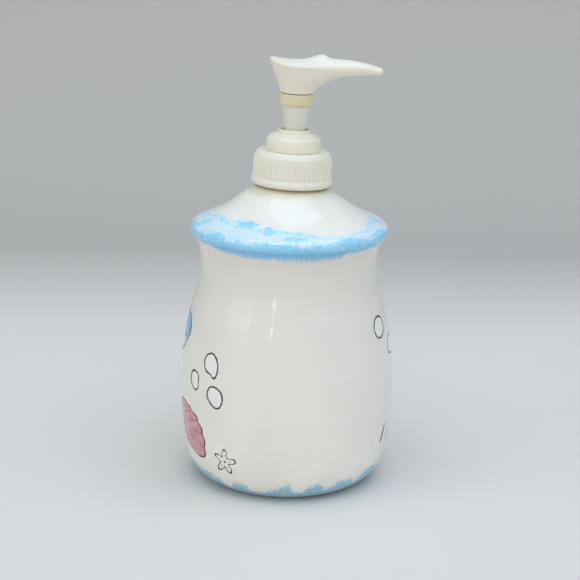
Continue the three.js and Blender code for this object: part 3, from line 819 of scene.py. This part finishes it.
# water weed on the right, its first leaf just in view
def weed(a_deg, z0, z1, sway, half, phase, tint):
    t = g.op("DIVIDE", V - z0, z1 - z0, clamp=True)
    mid = g.op("SINE", V * 0.20 + phase) * sway + deg(a_deg)
    w = g.op("SINE", t * (PI * 0.94) + 0.15) * half
    d = g.op("ABSOLUTE", U - mid) - w
    rng = g.ss(V, z0 - 0.2, z0 + 0.2) * g.ss(V, z1 + 0.2, z1 - 0.2)
    paints.append((g.ss(d, 0.1, -0.1) * rng, tint))
    ink_layers.append(pen(d) * rng)
    ink_layers.append(pen(U - mid, 0.6) * rng * g.ss(t, 0.85, 0.7) * 0.6)


weed(84.0, 9.0, 34.0, 1.5, 2.3, 0.4, GREEN)
weed(95.0, 7.0, 47.0, 2.2, 2.7, 2.0, srgb(112, 150, 122))
weed(106.0, 8.0, 38.0, 1.8, 2.4, 3.6, GREEN)
weed(115.0, 9.0, 29.0, 1.4, 2.2, 1.2, srgb(138, 170, 142))

# two short blades of the same weed, just in view from the front
weed(67.4, 18.8, 26.8, 1.5, 0.85, -4.5, srgb(92, 122, 104))
weed(79.0, 16.6, 25.6, 1.2, 1.1, -3.9, GREEN)

# the back: a second, smaller fish with bubbles, a shell and a starfish
BU, BV = 4.0, 52.0
b_pts = [(BU + 13, BV + 0.5), (BU + 9.5, BV + 4.6), (BU + 3, BV + 6.9), (BU - 4, BV + 6.2), (BU - 10, BV + 2.2), (BU - 10.5, BV - 1.0), (BU - 4.5, BV - 5.2),
         (BU + 3, BV - 6.4), (BU + 9.5, BV - 4.2)]
bd = radial(BU + 1.0, BV, b_pts, u=BACK)[0]
bt_pts = [(BU - 9.6, BV + 0.6), (BU - 13, BV + 4.0), (BU - 17.0, BV + 6.6), (BU - 15.4, BV + 0.8), (BU - 17.2, BV - 5.4), (BU - 13, BV - 3.2)]
btd = radial(BU - 13.4, BV + 0.5, bt_pts, u=BACK)[0]
back_on = g.ss(g.op("ABSOLUTE", BACK), 90, 80)
b_in = g.ss(bd, 0.1, -0.1) * back_on
paints.append((g.ss(btd, 0.1, -0.1) * back_on, PINK_LIGHT))
ink_layers.append(pen(btd) * back_on)
paints.append((b_in, g.mix(g.ss(g.noise(0.25, 2.0), 0.35, 0.7), srgb(214, 152, 160), srgb(228, 186, 188))))
ink_layers.append(("cut", b_in))
ink_layers.append(pen(bd, 1.05) * back_on)
b_eye = g.hypot(BACK - (BU + 8.6), V - (BV + 1.6))
paints.append((g.ss(b_eye, 1.45, 1.25), srgb(240, 241, 238)))
ink_layers.append(pen(b_eye - 1.35, 0.7))
ink_layers.append(g.ss(g.hypot(BACK - (BU + 8.9), V - (BV + 1.5)), 0.7, 0.5))
ink_layers.append(pen(g.hypot(BACK - (BU + 9.5), V - BV) - 5.6, 0.7) * g.ss(BACK, BU + 5.6, BU + 5.0) * b_in)
for uu, vv, rr in ((23, 56, 2.6), (27.5, 63.5, 3.3), (21.5, 68.5, 2.2), (-28, 66, 3.0), (-33, 57.5, 2.2)):
    dd = g.hypot((BACK - uu) * 1.06, V - vv) - rr
    paints.append((g.ss(dd, 0.1, -0.1) * back_on, BUBBLE))
    ink_layers.append(pen(dd) * back_on)
s2u, s2v = BACK - 20.0, V - 19.0
s2r = g.hypot(s2u, s2v)
star2 = s2r - (g.op("COSINE", g.op("ARCTAN2", s2v, s2u) * 5.0 + 0.6) * 2.6 + 6.0)
star_in = g.ss(star2, 0.1, -0.1) * back_on
paints.append((star_in, g.mix(g.ss(g.noise(0.3, 2.0), 0.35, 0.7), srgb(226, 196, 140), srgb(236, 214, 168))))
ink_layers.append(pen(star2 * 0.8) * back_on)
ink_layers.append(g.ss(g.cells(0.62, at=g.vec(s2u, s2v)), 0.24, 0.16) * star_in * g.ss(star2, -1.0, -1.5) * 0.7)
s3u, s3v = BACK + 22.0, V - 12.5
s3r = g.hypot(s3u, s3v)
s3phi = g.op("ARCTAN2", s3v, s3u)
shell2 = s3r - (9.2 + g.op("ABSOLUTE", g.op("COSINE", s3phi * 5.5)) * 0.8)
fan = g.ss(s3v, -0.2, 0.2)
shell2_in = g.ss(shell2, 0.1, -0.1) * fan * back_on
paints.append((shell2_in, g.mix(g.ss(g.noise(0.28, 3.0), 0.35, 0.72), PINK, PINK_LIGHT)))
ink_layers.append(pen(shell2) * fan * back_on)
ink_layers.append(pen(s3v, 0.9) * g.ss(s3r, 9.8, 9.6) * back_on)
ink_layers.append(g.ss(g.op("ABSOLUTE", g.op("SINE", s3phi * 5.5)) * s3r * 0.18 - 0.10, 0.26, -0.08) * shell2_in * g.ss(s3r, 3.0, 4.5) * 0.6)

color = base
for mask, tint in paints:
    color = g.mix(mask, color, tint)
ink = None
for layer in ink_layers:
    if isinstance(layer, tuple):
        ink = ink * (1.0 - layer[1])
    else:
        ink = layer if ink is None else g.maxi(ink, layer)
color = g.mix(ink * ink_depth, color, INK)

# Sponged and brushed blue on the shoulder roll.  T is the distance in mm along
# the surface from the roll's crest, up the shoulder (+) or down the underside (-).
a01 = ANG / TAU + 0.5
up_side = g.ss(Z, 102.0, 102.2)
T = (g.op("ABSOLUTE", Z - 102.1) * 0.85 + (39.0 - RHO) * 0.72) * (up_side * 2.0 - 1.0)


def turn(points, top):
    """A smooth curve of height against the angle round the bottle, in degrees from
    the front; its ends meet at the back."""
    pts = [((a / 360 + 0.5), v / top) for a, v in points]
    first, last = pts[0], pts[-1]
    w = (1 - last[0]) / (1 - last[0] + first[0])
    ends = last[1] * (1 - w) + first[1] * w
    return g.curve(a01, [(0.0, ends)] + pts + [(1.0, ends)]) * top


up_edge = turn([(-150, 10.0), (-120, 12.5), (-95, 10.5), (-65, 14.2), (-52, 13.2), (-39, 14.8), (-27, 12.5), (-21, 10.8), (-14, 11.9), (-4, 10.4), (7, 9.6), (19.5, 6.8),
                (33, 5.4), (46, 6.6), (58, 7.2), (69, 9.8), (98, 10.2), (125, 8.4), (155, 12.0)], 20.0)
blot = g.noise(0.20, 3.0, 0.6)
grain = g.noise(0.55, 5.0, 0.72)
fine = g.noise(1.7, 3.0, 0.7)
streak = g.noise(1.0, 4.0, 0.7, at=g.vec(ANG * 13.0, T * 0.55, Z * 0.05), distortion=0.8)
bristle = g.noise(1.0, 2.0, 0.6, at=g.vec(ANG * 48.0, T * 0.12, 3.0))
N = (grain * 0.62 + streak * 0.38 - 0.5) * 2.6 + (fine - 0.5) * 0.9 + 0.5
Tn = T + (blot - 0.5) * 5.0
dense = g.ss(Tn + (grain - 0.5) * 9.0 + (streak - 0.5) * 4.0, 5.2, -0.4)
inner = g.ss(Tn - up_edge, 0.9, -1.4)
hollow = g.ss(g.op("ABSOLUTE", T - up_edge * 0.46), 3.0, 0.6) * 0.18
rimmed = g.ss(g.op("ABSOLUTE", T - up_edge * 0.86), 2.2, 0.4) * 0.16


def dab(a_deg, t, ra, rt, tilt=0.0):
    """A bolder touch of the sponge."""
    du = (ANG - math.radians(a_deg)) * 33.0
    dt = T - t - du * tilt
    return g.ss(g.hypot(du / ra, dt / rt) + (grain - 0.5) * 1.3 + (fine - 0.5) * 0.5, 1.25, 0.55) * 1.25


dabs = g.maxi(dab(-32.5, 12.0, 5.6, 2.8, 0.05), dab(-14.5, 9.4, 3.2, 3.2) * 0.82, dab(-47.5, 0.8, 6.2, 3.8), dab(-71.0, 6.0, 3.0, 3.8, 0.5) * 0.85, dab(-80.0, 2.6, 5.0, 2.6),
              dab(-61.0, 11.6, 2.6, 1.0, -0.4) * 0.75, dab(3.0, 4.6, 5.0, 2.0) * 0.8, dab(36.0, 1.4, 6.5, 2.6), dab(66.0, 2.0, 7.0, 2.4), dab(84.0, 7.5, 2.2, 3.6), dab(118.0, 7.0, 4.4, 2.0),
              dab(150.0, 10.0, 5.0, 2.2), dab(-165.0, 8.5, 3.6, 2.2), dab(-128.0, 10.5, 4.6, 2.0), dab(-104.0, 6.0, 4.0, 2.4))
low_edge = turn([(-160, 5.2), (-100, 4.6), (-70, 4.0), (-55, 3.6), (-41, 5.2), (-23, 5.5), (-5, 5.3), (13, 5.7), (31, 4.9), (39, 3.6), (60, 3.8), (100, 4.6), (150, 5.6)], 10.0)
below = g.ss(T + low_edge + (bristle - 0.5) * 4.6 + (fine - 0.5) * 1.6, -2.1, 1.9)
level = g.maxi(dense * 1.10, dabs, inner * (0.60 - hollow + rimmed))
cover = g.ss(level - N, -0.30, 0.34) * below * g.ss(level, 0.02, 0.10)
heavy = g.ss(level - N, 0.05, 0.62)
blue = g.mix(heavy, srgb(202, 238, 254), srgb(153, 216, 247))
blue = g.mix(g.ss(T + (streak - 0.5) * 3.0, 2.0, -1.0) * 0.92, blue, srgb(146, 218, 255))
drag = g.noise(1.0, 4.0, 0.65, at=g.vec(ANG * 7.0, T * 0.9, 7.0), distortion=0.5)
blue = g.mix(g.ss(drag + (fine - 0.5) * 0.3, 0.52, 0.64) * g.ss(T, -2.4, -0.6) * 0.55, blue, srgb(184, 234, 255))
blue = g.mix(g.ss(drag + (fine - 0.5) * 0.3, 0.47, 0.36) * g.ss(T, 3.0, 0.8) * 0.55, blue, srgb(112, 184, 238))
blue = g.mix(g.ss(T + (streak - 0.5) * 2.0, -0.6, -3.0) * 0.85, blue, srgb(122, 188, 230))
blue = g.mix(g.ss(fine + (streak - 0.5) * 0.5, 0.57, 0.70) * 0.28, blue, srgb(104, 184, 240))
wash = g.mini(g.ss(Tn - up_edge + (grain - 0.5) * 3.0, 1.6, -2.0), below) * (g.ss(T, 14.0, 3.0) * 0.42 + 0.24) * (g.ss(grain * 0.6 + fine * 0.4, 0.62, 0.42) * 0.6 + 0.5)
color = g.mix(wash, color, srgb(192, 230, 252))
color = g.mix(cover * 0.95, color, blue)

# the same blue, greyer, dabbed round the foot
foot_edge = turn([(-160, 7.5), (-120, 6.0), (-95, 8.5), (-72, 9.6), (-58, 8.9), (-47, 8.2), (-41, 7.2), (-37, 4.6), (-32, 6.6), (-26, 7.2), (-21, 5.6), (-16, 4.2), (-10, 5.8), (-4, 7.6),
                  (2, 8.4), (6, 5.2), (9, 4.8), (13, 7.0), (18, 8.8), (22.5, 7.6), (26, 5.8), (32, 8.2), (40, 8.4), (46, 6.8), (52, 9.8), (60, 10.6), (72, 8.5), (100, 6.0), (135, 8.6)], 20.0)
f_noise = g.noise(0.36, 4.0, 0.7)
f_fine = g.noise(1.1, 3.0, 0.7)
foot_level = g.maxi(g.ss(Z - foot_edge + (f_noise - 0.5) * 8.0 + (f_fine - 0.5) * 2.0, 1.2, -1.6), g.ss(Z + (f_fine - 0.5) * 2.5, 5.0, 3.6) * 0.85)
foot_cover = g.ss(foot_level * 0.80 - ((f_noise * 0.4 + f_fine * 0.6 - 0.5) * 3.0 + 0.42), -0.34, 0.40) * foot_level * g.ss(Z, 20.0, 19.0)
foot_blue = g.mix(g.ss(f_fine * 0.6 + f_noise * 0.4, 0.42, 0.60), srgb(164, 208, 228), srgb(110, 174, 210))
foot_wash = g.ss(Z - foot_edge, 2.0, -2.5) * 0.34
color = g.mix(foot_wash, color, srgb(186, 208, 218))
color = g.mix(foot_cover * 0.92, color, foot_blue)

# painted shadow and warm reflected light under the closure's rim, as a tan tint on the glaze
painted_cap_shadow = g.ss(RHO + (g.noise(0.25, 3.0) - 0.5) * 1.2, 18.1, 15.6) * g.ss(Z, 108.0, 110.0)
color = g.mix(painted_cap_shadow * 0.62, color, srgb(218, 208, 172))

# bare clay on the foot ring, over its lowest half millimetre
bare = g.ss(Z + (grain - 0.5) * 0.5, 0.5, 0.2)
clay = g.mix(g.ss(g.noise(0.8, 3.0, 0.6), 0.3, 0.7), srgb(226, 220, 206), srgb(212, 203, 186))
color = g.mix(bare, color, clay)
g.set("Base Color", color)
rough = 0.085 + g.ss(g.noise(0.6, 3.0), 0.3, 0.75) * 0.05 + bare * 0.55 + cover * 0.04
g.set("Roughness", rough)
g.set("IOR", 1.52)
orange = g.noise(0.16, 3.0, 0.55)
n1 = g.bump(orange, 0.00055, 0.15)
n2 = g.bump(g.noise(0.75, 2.0, 0.5), 0.00010, 0.16, after=n1)
n3 = g.bump(g.noise(3.0, 3.0, 0.7) * bare, 0.00015, 0.8, after=n2)
g.set("Normal", n3)


def plastic(name, light, dark, rough, bump=0.25, sss=0.12, tint=None, seam=False):
    m = Mat(name, light, rough)
    m.xyz()
    n = m.noise(0.07, 3.0, 0.55)
    col = m.mix(m.ss(n, 0.32, 0.70), dark, light)
    spots = m.ss(m.noise(1.1, 3.0, 0.65), 0.66, 0.82) * 0.22
    col = m.mix(spots, col, tint or scaled(dark, 0.9))
    m.set("Base Color", col)
    m.set("Roughness", rough - 0.05 + m.ss(m.noise(0.5, 4.0, 0.6), 0.25, 0.75) * 0.12)
    b1 = m.bump(m.noise(0.9, 3.0, 0.6), 0.00012, bump)
    b2 = m.bump(m.noise(5.0, 2.0, 0.6), 0.00003, bump, after=b1)
    m.set("Normal", b2)
    if sss:
        m.bsdf.inputs["Subsurface Weight"].default_value = sss
        m.bsdf.inputs["Subsurface Radius"].default_value = (0.0016, 0.0012, 0.0008)
        m.bsdf.inputs["Subsurface Scale"].default_value = 1.0
    return m


ivory = plastic("ivory_plastic", srgb(241, 237, 223), srgb(236, 230, 213), 0.34)
stem_m = plastic("stem_plastic", srgb(235, 230, 219), srgb(228, 223, 210), 0.36)
yellow_m = plastic("yellowed_plastic", srgb(230, 222, 188), srgb(222, 212, 172), 0.40, tint=srgb(210, 200, 156))
natural = plastic("natural_plastic", srgb(236, 235, 228), srgb(226, 224, 214), 0.42, sss=0.25)
seal_m = plastic("seal_plastic", srgb(238, 237, 230), srgb(228, 226, 216), 0.5, sss=0.2)
tube_m = plastic("tube_plastic", srgb(232, 236, 236), srgb(220, 226, 226), 0.30, sss=0.3)
gasket_m = plastic("gasket_foam", srgb(214, 210, 198), srgb(196, 190, 176), 0.85, bump=0.9, sss=0.0)


def metal(name, color, rough, brushed):
    m = Mat(name, color, rough, Metallic=1.0)
    m.xyz()
    m.set("Roughness", rough + m.ss(m.noise(1.5, 4.0, 0.6), 0.3, 0.7) * 0.12)
    m.set("Base Color", m.mix(m.ss(m.noise(0.6, 3.0), 0.3, 0.7), color, scaled(color, 0.88)))
    m.set("Normal", m.bump(m.noise(brushed, 3.0, 0.6), 0.00002, 0.4))
    return m


steel_ball = metal("polished_steel", srgb(214, 216, 220), 0.10, 6.0)
wire_m = metal("drawn_wire", srgb(188, 190, 194), 0.24, 9.0)

# ------------------------------------------------------------ ride and replace
for ob, mat, body, node, slot in [
    (bottle, g, "bottle", "bottle", "glaze"),
    (closure, ivory, "closure", "closure", "ivory_plastic"),
    (chaplet, ivory, "pump_core", "chaplet", "ivory_plastic"),
    (housing, natural, "pump_core", "pump_housing", "natural_plastic"),
    (tube, tube_m, "pump_core", "dip_tube", "tube_plastic"),
    (seat_ring, natural, "pump_core", "spring_seat", "natural_plastic"),
    (seat_bars[0], natural, "pump_core", None, "natural_plastic"),
    (seat_bars[1], natural, "pump_core", None, "natural_plastic"),
    (spring, wire_m, "pump_core", "return_spring", "spring_steel"),
    (gasket, gasket_m, "neck_seal", "neck_gasket", "gasket_foam"),
    (piston_seal, seal_m, "piston", "piston_seal", "seal_plastic"),
    (piston_rod, natural, "head", "piston_rod", "natural_plastic"),
    (stem, stem_m, "head", "stem", "stem_plastic"),
    (insert, yellow_m, "head", "head_insert", "yellowed_plastic"),
    (head, ivory, "head", "actuator_head", "ivory_plastic"),
    (inlet_ball, steel_ball, "inlet_valve", "inlet_ball", "ball_steel"),
    (outlet_ball, steel_ball, "outlet_valve", "outlet_ball", "ball_steel"),
]:
    ob.data.materials.append(mat.mat)
    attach(ob, body)
    if node:
        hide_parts(node)

spring_foot = lean(np.array([0.0, 0.0, SPRING_BOTTOM])) * MM
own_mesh(spring)

# ----------------------------------------------------------------------- stage
def stage_material(name, color, rough):
    m = Mat(name, color, rough)
    m.xyz()
    x, y, z = m.xyz()
    paper = m.mix(m.noise(0.004, 3.0, 0.5), scaled(color, 0.985), scaled(color, 1.015))
    far = m.ss(y + z * 0.6, 160.0, 430.0)
    m.set("Base Color", m.mix(far, paper, scaled(color, 0.66)))
    m.set("Normal", m.bump(m.noise(0.8, 4.0, 0.6), 0.0001, 0.3))
    return m


xs = np.linspace(-1.6, 1.6, 3)
curve_pts = [(-1.2, 0.0), (0.40, 0.0)] + [(0.40 + 0.22 * math.sin(a), 0.22 - 0.22 * math.cos(a)) for a in np.linspace(0.1, PI / 2, 14)] + [(0.62, 1.6)]
verts = [(x * 1000, y * 1000, z * 1000) for y, z in curve_pts for x in xs]
rows = len(curve_pts)
idx = np.arange(rows * 3).reshape(rows, 3)
quads = np.stack([idx[:-1, :-1], idx[:-1, 1:], idx[1:, 1:], idx[1:, :-1]], -1).reshape(-1, 4)
floor = mesh_object("studio_floor", verts, [quads])
floor.data.materials.append(stage_material("pale_paper", srgb(226, 222, 217), 0.9).mat)


def area(name, loc, target, size, power, color, size_y=None):
    l = bpy.data.lights.new(name, "AREA")
    l.shape = "RECTANGLE"
    l.size, l.size_y = size, size_y or size
    l.energy = power
    l.color = color
    o = bpy.data.objects.new(name, l)
    o.location = loc
    o.rotation_mode = "QUATERNION"
    o.rotation_quaternion = (Vector(target) - Vector(loc)).to_track_quat("-Z", "Y")
    bpy.context.scene.collection.objects.link(o)
    return o


area("top_softbox", (0.12, -0.24, 1.12), (0, 0, 0.10), 1.3, 8.35, (0.695, 0.858, 1.05))
area("left_window", (-1.2, -0.70, 0.60), (0, 0, 0.08), 0.8, 1.75, (1.0, 0.985, 0.93))
area("door_gap", (-0.46, -1.5, 0.44), (0, 0, 0.08), 0.04, 0.55, (1.0, 0.68, 0.58), 0.26)

world = bpy.data.worlds.new("studio")
world.use_nodes = True
wt = world.node_tree
w_tc, w_sep, w_map, w_mix = (wt.nodes.new(k) for k in ("ShaderNodeTexCoord", "ShaderNodeSeparateXYZ", "ShaderNodeMapRange", "ShaderNodeMix"))
w_mix.data_type = "RGBA"
w_map.inputs["From Min"].default_value, w_map.inputs["From Max"].default_value = -0.1, 0.75
w_mix.inputs[6].default_value = (1.0, 0.95, 0.87, 1)
w_mix.inputs[7].default_value = (0.93, 0.98, 1.0, 1)
wt.links.new(w_tc.outputs["Generated"], w_sep.inputs[0])
wt.links.new(w_sep.outputs[2], w_map.inputs["Value"])
wt.links.new(w_map.outputs["Result"], w_mix.inputs[0])
wt.links.new(w_mix.outputs[2], wt.nodes["Background"].inputs[0])
w_front = wt.nodes.new("ShaderNodeMapRange")
w_front.inputs["From Min"].default_value, w_front.inputs["From Max"].default_value = -1.0, 1.0
w_front.inputs["To Min"].default_value, w_front.inputs["To Max"].default_value = 0.71, 0.42
wt.links.new(w_sep.outputs[1], w_front.inputs["Value"])
wt.links.new(w_front.outputs["Result"], wt.nodes["Background"].inputs[1])
bpy.context.scene.world = world
bpy.context.scene.view_settings.view_transform = "Standard"

# ---------------------------------------------------------------------- camera
F_PX, PITCH_DOWN, ROLL = 1600.0, 0.25919, -0.02044
CAM = Vector((0.000694, -0.61712, 0.24003))
cam_data = bpy.data.cameras.new("camera")
cam_data.sensor_width = 36.0
cam_data.lens = F_PX / 580.0 * 36.0
cam_data.clip_start, cam_data.clip_end = 0.01, 20.0
cam = bpy.data.objects.new("camera", cam_data)
fwd = Vector((0, math.cos(PITCH_DOWN), -math.sin(PITCH_DOWN)))
right = Vector((1, 0, 0))
up = right.cross(fwd)
r2 = math.cos(ROLL) * right - math.sin(ROLL) * up
u2 = math.sin(ROLL) * right + math.cos(ROLL) * up
m = Matrix(((r2.x, u2.x, -fwd.x, CAM.x), (r2.y, u2.y, -fwd.y, CAM.y), (r2.z, u2.z, -fwd.z, CAM.z), (0, 0, 0, 1)))
cam.matrix_world = m
bpy.context.scene.collection.objects.link(cam)
bpy.context.scene.camera = cam
